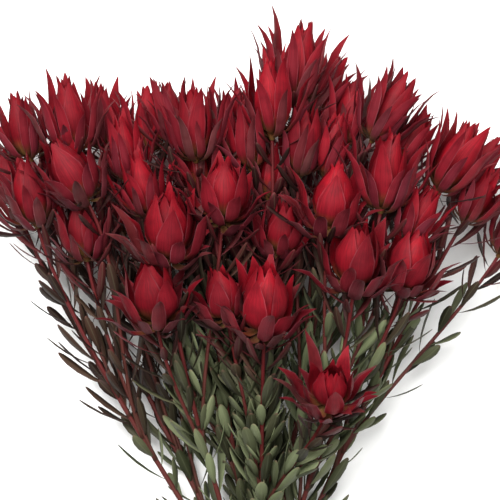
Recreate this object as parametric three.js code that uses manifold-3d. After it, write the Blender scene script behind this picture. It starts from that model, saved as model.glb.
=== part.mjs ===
// A tied bunch of leucadendron, a cut flower whose red heads are made of pointed bracts.
// It lies on a surface, as a bunch put down on a table does. Units are millimetres, +Z is up and +Y runs from
// the tie to the flowers. The origin is the flat underside of the tie, where the bunch touches the surface.
import * as THREE from 'three';
import { mergeVertices } from 'three/addons/utils/BufferGeometryUtils.js';
import Module from 'manifold-3d';

const wasm = await Module();
wasm.setup();
const { Manifold, Mesh: SolidMesh } = wasm;

// The tied bundle: ten cut stems in rows of three, four and three.
const STEM_RADIUS = 3.5;
const STEM_PITCH = 6.8;
const ROW_PITCH = STEM_PITCH * Math.sqrt(3) / 2;
const BUTT_LENGTH = 56;
const STRAIGHT_END = 12;
const TIE_WIDTH = 14;
const TIE_THICKNESS = 1.2;
const FIT_GAP = 0.3;
const LOW_ROW_HEIGHT = TIE_THICKNESS + FIT_GAP + STEM_RADIUS;
const CORNER_STEPS = 2;

// Wood: a stem thins towards its flower head, and its side shoots are thinner than it is.
const SHOOT_RADIUS = 2.0;
const HEAD_END_RADIUS = 1.8;
const LEADER_SIDES = 6;
const LEADER_STEPS = 6;
const SHOOT_SIDES = 4;
const SHOOT_STEPS = 4;
const START_PULL = 0.06;
const END_PULL = 0.3;
const SHOOT_SPREAD = 0.5;

// Leaves stand in a spiral along the shoots. Over the last stretch below a head they are longer and narrower,
// and spread wider. On the outer stems they are also further apart, longer and narrower: OUTER says how much
// so, for each column of stems from the middle. Of each run of leaf places one leaf is built.
const GOLDEN_ANGLE = THREE.MathUtils.degToRad(137.508);
const LEAF_PITCH = 8.5;
const LEAF_RUN = 7;
const OUTER = { pitch: 4, longer: 0.1, narrower: 0.12 };
const BARE_LENGTH = 78;
const BARE_NECK = 14;
const LEAF_REACH = { below: 110, longer: 0.15, narrower: 0.35, wider: 20 };
const LEAF = { length: 46, width: 13, thickness: 1.3, open: [44, 12], swell: [0.12, 1, 0], waist: 0.6 };
const LEAF_VARIES = { length: 0.7, width: 0.3, open: 14 };

// A flower head is one spiral of bracts, counted from the outermost one inwards. The outer ones are narrow
// and spread. Over the stretch CLASP of the spiral they turn into broad ones, which close round each other in
// an egg-shaped bud. CLASP also says what this adds to their sizes and angles, in millimetres and degrees.
// Those from BUD_FROM on are one smooth bud here, and of the rest every third is built.
// Heads that rise at cupRise or more open as cups. Those at uprightRise or less hold their bracts upright.
// For each habit there are the sizes of the outermost and the innermost bract, and the angles from the head's
// middle line at which they start and end.
const HABIT = { cupRise: 20, uprightRise: 14 };
const CUP = { length: [52, 76], width: [11, 14], start: [104, 56], end: [12, -12] };
const UPRIGHT = { length: [60, 84], width: [8.5, 11], start: [70, 40], end: [10, -6] };
const BRACTS = 30;
const BRACT_STEP = 3;
const BUD_FROM = 21;
const BRACT = { thickness: 1.5, waist: 0.42, swell: [0.3, 1, 0] };
const BRACT_ROOT = { out: [3, 6], up: [2, 12] };
const BRACT_VARIES = { length: 0.45, start: 14, end: 20 };
const CLASP = { from: 0.45, full: 0.7, steadier: 0.75, length: -22, width: 12, start: -10, end: -30 };
const BUD_PROFILE = [[0, 0], [9, 3], [15, 24], [0, 54]];
const UPRIGHT_BUD = { slimmer: 0.15, taller: 0.2 };
const BUD_SIDES = 6;
const CLOSER = [0, 14, 28];

const CLEARANCE = 0.4;
const BLADE_SIDES = 3;
const BLADE_STEPS = 2;
const SMALLEST_EDGE = 0.03;

// One entry a cut stem. slot is its column and row in the tie. A head's foot is x to the right of the tie,
// y towards the flowers and z above the surface. lean is its turn to the right and rise its turn upwards, in
// degrees. from is where its shoot leaves the leader, as a share of the leader, whose own head comes first.
const STEMS = [
  { name: 'top_centre', slot: [0, 2], heads: [
    { x: 2, y: 327, z: 150, lean: 2, rise: 26, size: 1.1 },
    { x: 65, y: 255, z: 150, lean: 6, rise: 42, size: 1.0, from: 0.48 },
    { x: -34, y: 338, z: 134, lean: -10, rise: 20, size: 0.85, from: 0.52 },
    { x: 15, y: 404, z: 126, lean: 10, rise: 20, size: 0.8, from: 0.62 }] },
  { name: 'top_left', slot: [-1, 2], heads: [
    { x: -92, y: 398, z: 150, lean: 0, rise: 24, size: 1.1 },
    { x: -104, y: 334, z: 140, lean: -6, rise: 26, size: 1.05, from: 0.5 },
    { x: -40, y: 436, z: 146, lean: 3, rise: 20, size: 1.0, from: 0.58 },
    { x: -112, y: 442, z: 124, lean: -12, rise: 14, size: 0.95, from: 0.62 }] },
  { name: 'top_right', slot: [1, 2], heads: [
    { x: 90, y: 370, z: 150, lean: 3, rise: 26, size: 1.05 },
    { x: 140, y: 368, z: 130, lean: 15, rise: 20, size: 1.0, from: 0.5 },
    { x: 66, y: 428, z: 146, lean: 7, rise: 20, size: 1.05, from: 0.62 },
    { x: 146, y: 418, z: 116, lean: 26, rise: 16, size: 0.85, from: 0.6 },
    { x: 38, y: 482, z: 110, lean: 6, rise: 12, size: 1.0, from: 0.42 }] },
  { name: 'middle_far_left', slot: [-1.5, 1], heads: [
    { x: -227, y: 432, z: 104, lean: -14, rise: 16, size: 1.05 },
    { x: -177, y: 398, z: 104, lean: -10, rise: 16, size: 0.9, from: 0.5 },
    { x: -236, y: 500, z: 84, lean: -14, rise: 12, size: 1.0, from: 0.6 },
    { x: -174, y: 457, z: 132, lean: -28, rise: 18, size: 1.05, from: 0.55 },
    { x: -252, y: 452, z: 66, lean: -18, rise: 8, size: 0.95, from: 0.5 }] },
  { name: 'middle_left', slot: [-0.5, 1], heads: [
    { x: -66, y: 497, z: 124, lean: -4, rise: 14, size: 1.05 },
    { x: -134, y: 478, z: 102, lean: -8, rise: 12, size: 0.95, from: 0.46 },
    { x: -190, y: 504, z: 108, lean: -6, rise: 14, size: 1.1, from: 0.4 },
    { x: -87, y: 514, z: 94, lean: -8, rise: 10, size: 0.95, from: 0.62 },
    { x: -62, y: 466, z: 98, lean: -8, rise: 10, size: 0.9, from: 0.52 }] },
  { name: 'middle_right', slot: [0.5, 1], heads: [
    { x: 10, y: 520, z: 124, lean: -2, rise: 14, size: 1.15 },
    { x: 33, y: 556, z: 102, lean: 8, rise: 10, size: 1.2, from: 0.66 },
    { x: -36, y: 503, z: 96, lean: 2, rise: 8, size: 0.9, from: 0.55 },
    { x: 6, y: 460, z: 94, lean: 4, rise: 8, size: 0.8, from: 0.5 },
    { x: -10, y: 488, z: 110, lean: -8, rise: 12, size: 0.95, from: 0.6 }] },
  { name: 'middle_far_right', slot: [1.5, 1], heads: [
    { x: 204, y: 436, z: 96, lean: 30, rise: 12, size: 0.95 },
    { x: 176, y: 466, z: 112, lean: 26, rise: 14, size: 1.1, from: 0.56 },
    { x: 118, y: 446, z: 132, lean: 10, rise: 14, size: 1.15, from: 0.46 },
    { x: 244, y: 402, z: 66, lean: 32, rise: 8, size: 0.95, from: 0.5 },
    { x: 134, y: 488, z: 90, lean: 28, rise: 12, size: 1.0, from: 0.5 },
    { x: 204, y: 472, z: 84, lean: 36, rise: 10, size: 0.9, from: 0.62 }] },
  { name: 'low_left', slot: [-1, 0], heads: [
    { x: -210, y: 456, z: 29.2, lean: -20, rise: 2, size: 0.9 },
    { x: -162, y: 510, z: 64, lean: -6, rise: 6, size: 1.0, from: 0.45 },
    { x: -146, y: 424, z: 22, lean: -8, rise: 2, size: 0.9, from: 0.4 },
    { x: -116, y: 506, z: 66, lean: -2, rise: 8, size: 1.0, from: 0.36 }] },
  { name: 'low_centre', slot: [0, 0], heads: [
    { x: -22, y: 500, z: 56, lean: 0, rise: 5, size: 1.0 },
    { x: -62, y: 440, z: 16, lean: -6, rise: 2, size: 0.9, from: 0.48 },
    { x: 34, y: 450, z: 20.2, lean: 4, rise: 2, size: 0.9, from: 0.52 }] },
  { name: 'low_right', slot: [1, 0], heads: [
    { x: 83, y: 514, z: 78, lean: 10, rise: 6, size: 1.0 },
    { x: 48, y: 545, z: 64, lean: 30, rise: 4, size: 1.0, from: 0.62 },
    { x: 110, y: 518, z: 112, lean: 28, rise: 12, size: 1.05, from: 0.5 },
    { x: 126, y: 458, z: 18, lean: 12, rise: 2, size: 0.9, from: 0.46 },
    { x: 64, y: 480, z: 96, lean: 12, rise: 10, size: 0.95, from: 0.52 }] },
];

const COLOURS = {
  stem: { color: 0x5f6b45, roughness: 0.6, metalness: 0 },
  bloom: { color: 0x9c1522, roughness: 0.5, metalness: 0 },
  tie: { color: 0xb9a67a, roughness: 0.8, metalness: 0 },
};

// A repeatable draw from 0 to 1 for a piece numbered by up to three whole numbers.
function draw(a, b = 0, c = 0) {
  const value = Math.sin(a * 127.1 + b * 311.7 + c * 74.7) * 43758.5453;
  return value - Math.floor(value);
}

function directionOf(head) {
  const lean = THREE.MathUtils.degToRad(head.lean);
  const rise = THREE.MathUtils.degToRad(head.rise);
  return new THREE.Vector3(
    Math.sin(lean) * Math.cos(rise), Math.cos(lean) * Math.cos(rise), Math.sin(rise));
}

// Two vectors square to a direction: side lies level, and up points away from the surface.
function frameOf(direction) {
  const side = new THREE.Vector3(direction.y, -direction.x, 0).normalize();
  return { side, up: side.clone().cross(direction) };
}

function solidOf(geometry) {
  const bare = geometry.clone();
  bare.deleteAttribute('normal');
  bare.deleteAttribute('uv');
  const merged = mergeVertices(bare, 1e-4);
  return new Manifold(new SolidMesh({
    numProp: 3,
    vertProperties: merged.attributes.position.array,
    triVerts: new Uint32Array(merged.index.array),
  }));
}

function geometryOf(solid) {
  const { numProp, vertProperties, triVerts } = solid.getMesh();
  const points = new Float32Array(vertProperties.length / numProp * 3);
  for (let i = 0; i * numProp < vertProperties.length; i++) {
    points.set(vertProperties.subarray(i * numProp, i * numProp + 3), i * 3);
  }
  const geometry = new THREE.BufferGeometry();
  geometry.setAttribute('position', new THREE.BufferAttribute(points, 3));
  geometry.setIndex(new THREE.BufferAttribute(triVerts, 1));
  geometry.computeVertexNormals();
  return geometry;
}

// Moves each point of an upright geometry one unit high. place(share of the height, x, z) is its new place.
function reshape(geometry, place) {
  const points = geometry.attributes.position;
  for (let i = 0; i < points.count; i++) {
    const moved = place(points.getY(i) + 0.5, points.getX(i), points.getZ(i));
    points.setXYZ(i, moved.x, moved.y, moved.z);
  }
  return geometry;
}

// A closed rod along a row of points, from one radius to another.
function rod(spine, startRadius, endRadius, sides) {
  const steps = spine.length - 1;
  const straight = new THREE.CylinderGeometry(1, 1, 1, sides, steps);
  return solidOf(reshape(straight, (share, x, z) => {
    const ring = Math.round(share * steps);
    const before = spine[Math.max(ring - 1, 0)];
    const after = spine[Math.min(ring + 1, steps)];
    const { side, up } = frameOf(after.clone().sub(before).normalize());
    const radius = THREE.MathUtils.lerp(startRadius, endRadius, share);
    return spine[ring].clone().addScaledVector(side, x * radius).addScaledVector(up, z * radius);
  }));
}

function lengthOf(spine) {
  return spine.slice(1).reduce((sum, point, index) => sum + point.distanceTo(spine[index]), 0);
}

// The point at a distance along a row of points, and the way the row runs there.
function walk(spine, distance) {
  let left = distance;
  let step = 0;
  while (step < spine.length - 2 && left > spine[step].distanceTo(spine[step + 1])) {
    left -= spine[step].distanceTo(spine[step + 1]);
    step++;
  }
  const direction = spine[step + 1].clone().sub(spine[step]).normalize();
  return { point: spine[step].clone().addScaledVector(direction, left), direction };
}

// A leaf or bract: a pointed blade, flat inside and keeled outside, whose middle line is an arc. It leaves
// root at open[0] degrees from axis, on the side that round points to, and ends at open[1] degrees from axis.
// It is widest at waist, a share of its length. extra makes it that much larger all round.
function blade({ root, axis, round, length, width, thickness, open, swell, waist }, extra = 0) {
  const across = axis.clone().cross(round);
  const [start, end] = open.map(THREE.MathUtils.degToRad);
  const bend = end - start;
  const reach = length + extra;
  const upright = new THREE.ConeGeometry(1, 1, BLADE_SIDES, BLADE_STEPS);
  return solidOf(reshape(upright, (share, x, z) => {
    const ring = Math.round(share * BLADE_STEPS);
    const angle = start + bend * [0, waist, 1][ring];
    const out = reach / bend * (Math.cos(start) - Math.cos(angle));
    const along = reach / bend * (Math.sin(angle) - Math.sin(start));
    const full = Math.max(1 - share, 1e-9);
    const sideways = x / full / Math.sin(2 * Math.PI / BLADE_SIDES) * (swell[ring] * width / 2 + extra);
    const keel = (z / full + 0.5) / 1.5;
    const depth = keel * (Math.sqrt(swell[ring]) * thickness + 2 * extra) - extra;
    return root.clone()
      .addScaledVector(round, out + depth * Math.cos(angle))
      .addScaledVector(axis, along - depth * Math.sin(angle))
      .addScaledVector(across, sideways);
  }));
}

function slotPlace([column, row], along) {
  return new THREE.Vector3(column * STEM_PITCH, along, LOW_ROW_HEIGHT + row * ROW_PITCH);
}

function footOf(head) {
  return new THREE.Vector3(head.x, head.y, head.z);
}

// The leader runs straight through the tie and then bends out to its head.
function leaderSpine(stem) {
  const start = slotPlace(stem.slot, STRAIGHT_END);
  const foot = footOf(stem.heads[0]);
  const span = start.distanceTo(foot);
  const bend = new THREE.CubicBezierCurve3(
    start,
    start.clone().add(new THREE.Vector3(0, span * START_PULL, 0)),
    foot.clone().addScaledVector(directionOf(stem.heads[0]), -span * END_PULL),
    foot);
  return [slotPlace(stem.slot, -BUTT_LENGTH), ...bend.getPoints(LEADER_STEPS)];
}

function shootSpine(leader, head) {
  const { point: start, direction } = walk(leader, head.from * lengthOf(leader));
  const foot = footOf(head);
  const span = start.distanceTo(foot);
  const way = direction.lerp(foot.clone().sub(start).normalize(), SHOOT_SPREAD).normalize();
  return new THREE.CubicBezierCurve3(
    start,
    start.clone().addScaledVector(way, span * END_PULL),
    foot.clone().addScaledVector(directionOf(head), -span * END_PULL),
    foot).getPoints(SHOOT_STEPS);
}

// How far a head holds its bracts upright, from 0 for a cup to 1.
function uprightOf(head) {
  return THREE.MathUtils.clamp((HABIT.cupRise - head.rise) / (HABIT.cupRise - HABIT.uprightRise), 0, 1);
}

// The size, opening and place of one bract. inward is 0 for the outermost one and 1 for the innermost.
function bractOf(bloom, number, closer) {
  const { lerp } = THREE.MathUtils;
  const inward = number / (BRACTS - 1);
  const upright = uprightOf(bloom.head);
  const habit = (part) => lerp(lerp(...CUP[part], inward), lerp(...UPRIGHT[part], inward), upright);
  const clasp = THREE.MathUtils.smoothstep(inward, CLASP.from, CLASP.full);
  const axis = directionOf(bloom.head);
  const { side, up } = frameOf(axis);
  const turn = number * GOLDEN_ANGLE + draw(bloom.number, 1) * 2 * Math.PI;
  const round = side.clone().multiplyScalar(Math.cos(turn)).addScaledVector(up, Math.sin(turn));
  const size = bloom.head.size;
  const vary = (part, drawn) => BRACT_VARIES[part] * (1 - CLASP.steadier * clasp)
    * (draw(bloom.number, number, drawn) - 0.5);
  const rootOut = lerp(...BRACT_ROOT.out, inward) * size;
  const rootUp = lerp(...BRACT_ROOT.up, inward) * size;
  return {
    ...BRACT,
    root: footOf(bloom.head).addScaledVector(axis, rootUp).addScaledVector(round, rootOut),
    axis,
    round,
    length: (habit('length') + CLASP.length * clasp) * (1 + vary('length', 2)) * size,
    width: (habit('width') + CLASP.width * clasp) * size,
    open: [
      habit('start') + CLASP.start * clasp - closer + vary('start', 3),
      habit('end') + CLASP.end * clasp - closer / 2 + vary('end', 4)],
  };
}

// The leaf at one place of the spiral along a shoot.
function leafOf(shoot, number) {
  const distance = shoot.bare + number * shoot.pitch;
  const { point, direction } = walk(shoot.spine, distance);
  const near = Math.max(0, 1 - (lengthOf(shoot.spine) - distance) / LEAF_REACH.below);
  const { side, up } = frameOf(direction);
  const turn = number * GOLDEN_ANGLE + draw(shoot.number, 5) * 2 * Math.PI;
  const longer = (1 + LEAF_REACH.longer * near) * (1 + OUTER.longer * shoot.outer);
  const narrower = (1 - LEAF_REACH.narrower * near) * (1 - OUTER.narrower * shoot.outer);
  const vary = (part, drawn) => LEAF_VARIES[part] * (draw(shoot.number, number, drawn) - 0.5);
  const spread = LEAF_REACH.wider * near + vary('open', 8);
  return {
    ...LEAF,
    root: point,
    axis: direction,
    round: side.clone().multiplyScalar(Math.cos(turn)).addScaledVector(up, Math.sin(turn)),
    length: LEAF.length * longer * (1 + vary('length', 6)),
    width: LEAF.width * narrower * (1 + vary('width', 7)),
    open: LEAF.open.map((angle) => angle + spread),
  };
}

// Every solid made so far, with the node it belongs to, so that a new leaf or bract can be kept clear.
const placed = [];
const nodes = new Map();

function boxOf(solid) {
  const { min, max } = solid.boundingBox();
  return new THREE.Box3(new THREE.Vector3(...min), new THREE.Vector3(...max));
}

// Whether a blade is clear of all that is placed, but for what mayTouch accepts, and not under the surface.
function standsClear(spec, mayTouch) {
  if (boxOf(blade(spec)).min.z < 0) return false;
  const grown = blade(spec, CLEARANCE);
  const reach = boxOf(grown);
  return placed.every((other) => mayTouch(other) || !other.box.intersectsBox(reach)
    || other.solid.intersect(grown).isEmpty());
}

function place(node, solid) {
  const piece = { node, solid, box: boxOf(solid) };
  placed.push(piece);
  if (!nodes.has(node)) nodes.set(node, []);
  nodes.get(node).push(solid);
  return piece;
}

const shoots = [];
const blooms = [];

function growWood(stem, stemNumber) {
  const node = `stem_${stem.name}`;
  const leader = leaderSpine(stem);
  stem.heads.forEach((head, index) => {
    const number = stemNumber * 10 + index;
    const spine = index ? shootSpine(leader, head) : leader;
    const wood = index
      ? place(node, rod(spine, SHOOT_RADIUS, HEAD_END_RADIUS, SHOOT_SIDES))
      : place(node, rod(spine, STEM_RADIUS, HEAD_END_RADIUS, LEADER_SIDES));
    const bare = index ? BARE_NECK : BUTT_LENGTH + BARE_LENGTH;
    const outer = Math.abs(stem.slot[0]);
    shoots.push({ node, wood, spine, number, bare, outer, pitch: LEAF_PITCH + OUTER.pitch * outer });
    blooms.push({ node: `bloom_${stem.name}_${index + 1}`, head, number });
  });
}

// A head's own frame: its foot, with Y up its middle line.
function placeOf(head) {
  const axis = directionOf(head);
  const { side, up } = frameOf(axis);
  return new THREE.Matrix4().makeBasis(side, axis, up).setPosition(footOf(head));
}

function growBud({ node, head }) {
  const upright = uprightOf(head);
  const wide = head.size * (1 - UPRIGHT_BUD.slimmer * upright);
  const tall = head.size * (1 + UPRIGHT_BUD.taller * upright);
  const profile = BUD_PROFILE.map(([radius, height]) => new THREE.Vector2(radius * wide, height * tall));
  const bud = new THREE.LatheGeometry(profile, BUD_SIDES);
  bud.translate(0, FIT_GAP, 0);
  place(node, solidOf(bud.applyMatrix4(placeOf(head))));
}

function growBract(bloom, number) {
  for (const closer of CLOSER) {
    const bract = bractOf(bloom, number, closer);
    if (!standsClear(bract, (other) => other.node === bloom.node)) continue;
    place(bloom.node, blade(bract));
    return;
  }
}

function growLeaves(shoot) {
  const places = Math.floor((lengthOf(shoot.spine) - BARE_NECK - shoot.bare) / shoot.pitch);
  let built = false;
  for (let number = 0; number < places; number++) {
    if (number % LEAF_RUN === 0) built = false;
    if (built) continue;
    const leaf = leafOf(shoot, number);
    if (!standsClear(leaf, (other) => other === shoot.wood)) continue;
    place(shoot.node, blade(leaf));
    built = true;
  }
}

// A flat band round the outside of the bundle, with its underside flat on the surface.
function makeTie() {
  const corners = [[1, 0], [1.5, 1], [1, 2], [-1, 2], [-1.5, 1], [-1, 0]];
  const outline = (path, radius) => {
    corners.forEach((corner, index) => {
      const { x, z } = slotPlace(corner, 0);
      const from = -Math.PI / 2 + index * Math.PI / 3;
      path.absarc(x, z, radius, from, from + Math.PI / 3, false);
    });
    path.closePath();
    return path;
  };
  const inside = STEM_RADIUS + FIT_GAP;
  const band = outline(new THREE.Shape(), inside + TIE_THICKNESS);
  band.holes.push(outline(new THREE.Path(), inside));
  const geometry = new THREE.ExtrudeGeometry(band, {
    depth: TIE_WIDTH, bevelEnabled: false, curveSegments: CORNER_STEPS });
  geometry.rotateX(Math.PI / 2);
  geometry.translate(0, TIE_WIDTH / 2, 0);
  return solidOf(geometry);
}

place('tie', makeTie());
STEMS.forEach(growWood);
blooms.forEach(growBud);
for (let number = BUD_FROM - 1; number >= 0; number -= BRACT_STEP) {
  blooms.forEach((bloom) => growBract(bloom, number));
}
shoots.forEach(growLeaves);

// One joined mesh, turned and moved to its place in the bunch.
function meshOf(node, frame = new THREE.Matrix4()) {
  const solid = Manifold.union(nodes.get(node)).simplify(SMALLEST_EDGE);
  const geometry = geometryOf(solid).applyMatrix4(frame.clone().invert());
  const mesh = new THREE.Mesh(geometry, new THREE.MeshStandardMaterial(COLOURS[node.split('_')[0]]));
  mesh.name = node;
  mesh.applyMatrix4(frame);
  return mesh;
}

const bunch = new THREE.Group();
bunch.add(meshOf('tie'));
for (const stem of STEMS) {
  const branch = new THREE.Group();
  branch.add(meshOf(`stem_${stem.name}`));
  stem.heads.forEach((head, index) => branch.add(meshOf(`bloom_${stem.name}_${index + 1}`, placeOf(head))));
  bunch.add(branch);
}

export default bunch;
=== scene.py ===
import math

import bmesh
import bpy
from bpy.props import (
    FloatProperty, FloatVectorProperty, IntProperty, PointerProperty)
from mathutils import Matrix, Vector
from mathutils.kdtree import KDTree


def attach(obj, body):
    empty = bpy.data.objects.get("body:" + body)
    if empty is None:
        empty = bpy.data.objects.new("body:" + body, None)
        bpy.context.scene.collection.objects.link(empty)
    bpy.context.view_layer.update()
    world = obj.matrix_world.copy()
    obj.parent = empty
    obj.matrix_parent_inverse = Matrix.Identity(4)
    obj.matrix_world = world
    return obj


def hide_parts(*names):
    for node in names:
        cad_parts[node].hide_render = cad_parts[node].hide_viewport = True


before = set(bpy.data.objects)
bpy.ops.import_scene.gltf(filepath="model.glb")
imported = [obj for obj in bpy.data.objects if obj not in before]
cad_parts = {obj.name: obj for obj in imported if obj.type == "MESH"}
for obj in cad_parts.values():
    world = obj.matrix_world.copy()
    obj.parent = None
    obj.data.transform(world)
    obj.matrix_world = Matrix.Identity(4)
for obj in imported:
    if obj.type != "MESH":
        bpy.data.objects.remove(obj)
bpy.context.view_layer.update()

bl_info = {
    "name": "Leucadendron bunch",
    "version": (1, 0, 0),
    "blender": (4, 5, 0),
    "location": "View3D > Sidebar > Bunch",
    "description": "Dresses a tied bunch of leucadendron: bark, leaves, flower heads and band",
    "category": "Add Mesh",
}

MM = 0.001

# What the settings of one kind have in common.
COLOUR = {"size": 4, "min": 0, "max": 1, "subtype": "COLOR"}
LENGTH = {"subtype": "DISTANCE", "unit": "LENGTH"}

PHOTO_PIXELS = 500
GOLDEN_ANGLE = math.radians(137.508)

# The bundle and the wood, in millimetres, as the solids have them.
STEM_RADIUS = 3.5
STEM_PITCH = 6.8
ROW_PITCH = STEM_PITCH * math.sqrt(3) / 2
TIE_WIDTH = 14
TIE_THICKNESS = 1.2
FIT_GAP = 0.3
LOW_ROW_HEIGHT = TIE_THICKNESS + FIT_GAP + STEM_RADIUS
BAND_CORNERS = ((1, 0), (1.5, 1), (1, 2), (-1, 2), (-1.5, 1), (-1, 0))
BUTT_LENGTH = 56
STRAIGHT_END = 12
SHOOT_RADIUS = 2.0
HEAD_END_RADIUS = 1.8
COLLAR_FADE = 5
LEADER_STEPS = 6
SHOOT_STEPS = 4
START_PULL = 0.06
END_PULL = 0.3
SHOOT_SPREAD = 0.5
BARE_LENGTH = 78
BARE_NECK = 14
MOST_HEADS = 10
DIRECTION_REACH = 2

# Leaves: over LEAF_REACH below a head they are longer and narrower and spread wider. OUTER says how much
# further apart, longer and narrower they are on the outer stems, for each column of stems from the middle.
LEAF_PITCH = 8.5
LEAF = {"length": 46, "width": 13, "open": (44, 12)}
LEAF_VARIES = {"length": 0.7, "width": 0.3, "open": 14}
LEAF_REACH = {"below": 110, "longer": 0.15, "narrower": 0.35, "wider": 20}
OUTER = {"pitch": 4, "longer": 0.1, "narrower": 0.12}

# Bracts: CLASP says between which places of the spiral they turn into those of the bud, and what that adds
# to their sizes and angles.
BRACTS = 30
BRACT_ROOT = {"out": (3, 6), "up": (2, 12)}
BRACT_VARIES = {"length": 0.45, "start": 14, "end": 20}
CLASP = {"from": 0.45, "full": 0.7, "steadier": 0.75, "length": -22, "width": 21, "start": -10, "end": -30}

# Heads that rise towards the light open as cups, and those that lie flat hold their bracts upright. For each
# habit: a bract's length, its width and the angles at which it starts and ends, for the outermost and the
# innermost one.
HABIT = {"cup_rise": 20, "upright_rise": 14}
CUP = {"length": (52, 76), "width": (11, 14), "start": (104, 56), "end": (12, -12)}
UPRIGHT = {"length": (60, 84), "width": (8.5, 11), "start": (70, 40), "end": (10, -6)}

# A head that rises more than this, in degrees, has only begun to grow its bud, so that is smaller.
YOUNG_HEAD = {"rise": 35, "bud": 0.74}

# How far bracts and leaves keep from other middle lines and from the surface, the heights of the middle
# points of a bud, and the spots of a blade that are looked at. One that isn't clear is bent closer to its
# shoot by the next of these angles, in degrees.
CLOSER = (0, 14, 28)
WOOD_POINTS = 120
WOOD_ROOM = 3
BUD_HEIGHTS = (16, 26, 36)
BUD_ROOM = 20
LEAST_HEIGHT = 1
SPOTS_NEAR_OTHERS = (0.3, 0.5, 0.65, 0.8, 0.9, 1.0)
SPOTS_NEAR_SURFACE = (0.4, 0.7, 1)
SIDES_NEAR_SURFACE = (-0.8, 0.8)

# A bract is the solid's own where its tip lies this close to a corner of the solid.
SAME_POINT = 0.05

# What is drawn at random. Each has a number of its own, so that no two of them go together.
(HEAD_TURN, BRACT_LENGTH, BRACT_START, BRACT_END, SHOOT_TURN, LEAF_LENGTH, LEAF_WIDTH, LEAF_OPENING, TONE,
 HEAD_TONE, SWELL, TWIST, SWAY, AGE, FLARE, BRACT_CLOSING, HEAD_CLOSING) = range(1, 18)

# One entry a cut stem: its name, its column and row in the band, and its heads. A head is the place of its
# foot to the right of the band, towards the flowers and above the surface, in millimetres, its turn to the
# right and its turn upwards, in degrees, its size, and the share of the leader at which its shoot leaves.
# The first head is the leader's own.
STEMS = (
    ("top_centre", (0, 2), (
        (2, 327, 150, 2, 26, 1.1, 0), (65, 255, 150, 6, 42, 1.0, 0.48),
        (-34, 338, 134, -10, 20, 0.85, 0.52), (15, 404, 126, 10, 20, 0.8, 0.62))),
    ("top_left", (-1, 2), (
        (-92, 398, 150, 0, 24, 1.1, 0), (-104, 334, 140, -6, 26, 1.05, 0.5),
        (-40, 436, 146, 3, 20, 1.0, 0.58), (-112, 442, 124, -12, 14, 0.95, 0.62))),
    ("top_right", (1, 2), (
        (90, 370, 150, 3, 26, 1.05, 0), (140, 368, 130, 15, 20, 1.0, 0.5),
        (66, 428, 146, 7, 20, 1.05, 0.62), (146, 418, 116, 26, 16, 0.85, 0.6),
        (38, 482, 110, 6, 12, 1.0, 0.42))),
    ("middle_far_left", (-1.5, 1), (
        (-227, 432, 104, -14, 16, 1.05, 0), (-177, 398, 104, -10, 16, 0.9, 0.5),
        (-236, 500, 84, -14, 12, 1.0, 0.6), (-174, 457, 132, -28, 18, 1.05, 0.55),
        (-252, 452, 66, -18, 8, 0.95, 0.5))),
    ("middle_left", (-0.5, 1), (
        (-66, 497, 124, -4, 14, 1.05, 0), (-134, 478, 102, -8, 12, 0.95, 0.46),
        (-190, 504, 108, -6, 14, 1.1, 0.4), (-87, 514, 94, -8, 10, 0.95, 0.62),
        (-62, 466, 98, -8, 10, 0.9, 0.52))),
    ("middle_right", (0.5, 1), (
        (10, 520, 124, -2, 14, 1.15, 0), (33, 556, 102, 8, 10, 1.2, 0.66),
        (-36, 503, 96, 2, 8, 0.9, 0.55), (6, 460, 94, 4, 8, 0.8, 0.5),
        (-10, 488, 110, -8, 12, 0.95, 0.6))),
    ("middle_far_right", (1.5, 1), (
        (204, 436, 96, 30, 12, 0.95, 0), (176, 466, 112, 26, 14, 1.1, 0.56),
        (118, 446, 132, 10, 14, 1.15, 0.46), (244, 402, 66, 32, 8, 0.95, 0.5),
        (134, 488, 90, 28, 12, 1.0, 0.5), (204, 472, 84, 36, 10, 0.9, 0.62))),
    ("low_left", (-1, 0), (
        (-210, 456, 29.2, -20, 2, 0.9, 0), (-162, 510, 64, -6, 6, 1.0, 0.45),
        (-146, 424, 22, -8, 2, 0.9, 0.4), (-116, 506, 66, -2, 8, 1.0, 0.36))),
    ("low_centre", (0, 0), (
        (-22, 500, 56, 0, 5, 1.0, 0), (-62, 440, 16, -6, 2, 0.9, 0.48),
        (34, 450, 20.2, 4, 2, 0.9, 0.52))),
    ("low_right", (1, 0), (
        (83, 514, 78, 10, 6, 1.0, 0), (48, 545, 64, 30, 4, 1.0, 0.62),
        (110, 518, 112, 28, 12, 1.05, 0.5), (126, 458, 18, 12, 2, 0.9, 0.46),
        (64, 480, 96, 12, 10, 0.95, 0.52))),
)


def lerp(start, end, share):
    """The value at a share of the way from start to end."""
    return start + (end - start) * share


def share_of(value, start, end):
    """How far a value is from start to end, from 0 to 1."""
    return max(0.0, min(1.0, (value - start) / (end - start)))


def draw(a, b, c=0):
    """A repeatable draw from 0 to 1 for a piece numbered by two or three whole numbers."""
    value = math.sin(a * 127.1 + b * 311.7 + c * 74.7) * 43758.5453
    return value - math.floor(value)


def frame_of(direction):
    """Two vectors square to a direction: a level one and one that points away from the surface."""
    side = Vector((direction.y, -direction.x, 0)).normalized()
    return side, side.cross(direction)


def bezier(controls, share):
    """The point at a share of the way along a cubic curve."""
    a, b, c, d = controls
    rest = 1 - share
    return a * rest ** 3 + b * (3 * rest * rest * share) + c * (3 * rest * share * share) + d * share ** 3


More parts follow.
